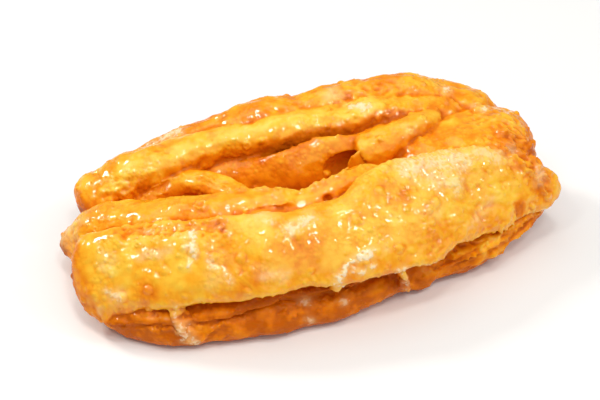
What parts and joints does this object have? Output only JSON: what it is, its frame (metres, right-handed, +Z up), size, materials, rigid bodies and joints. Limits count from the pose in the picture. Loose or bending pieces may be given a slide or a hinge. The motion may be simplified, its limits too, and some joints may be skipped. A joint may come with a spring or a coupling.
{
  "type": "khaja",
  "caption": "Deep-fried pastry of rolled and folded dough under a syrup glaze: a long flap over open rolls, lying on its flat base.",
  "frame": {"origin": "middle of the base, at the height of the surface it lies on", "axes": "+X along the folds, towards the broad shoulder; +Y towards the back, away from the outer flap; +Z up"},
  "size_m": [0.1102, 0.059, 0.027],
  "materials": {
    "crust": "golden brown fried dough under a glossy syrup glaze"
  },
  "bodies": {
    "root": {"khaja": "crust"}
  },
  "joints": []
}
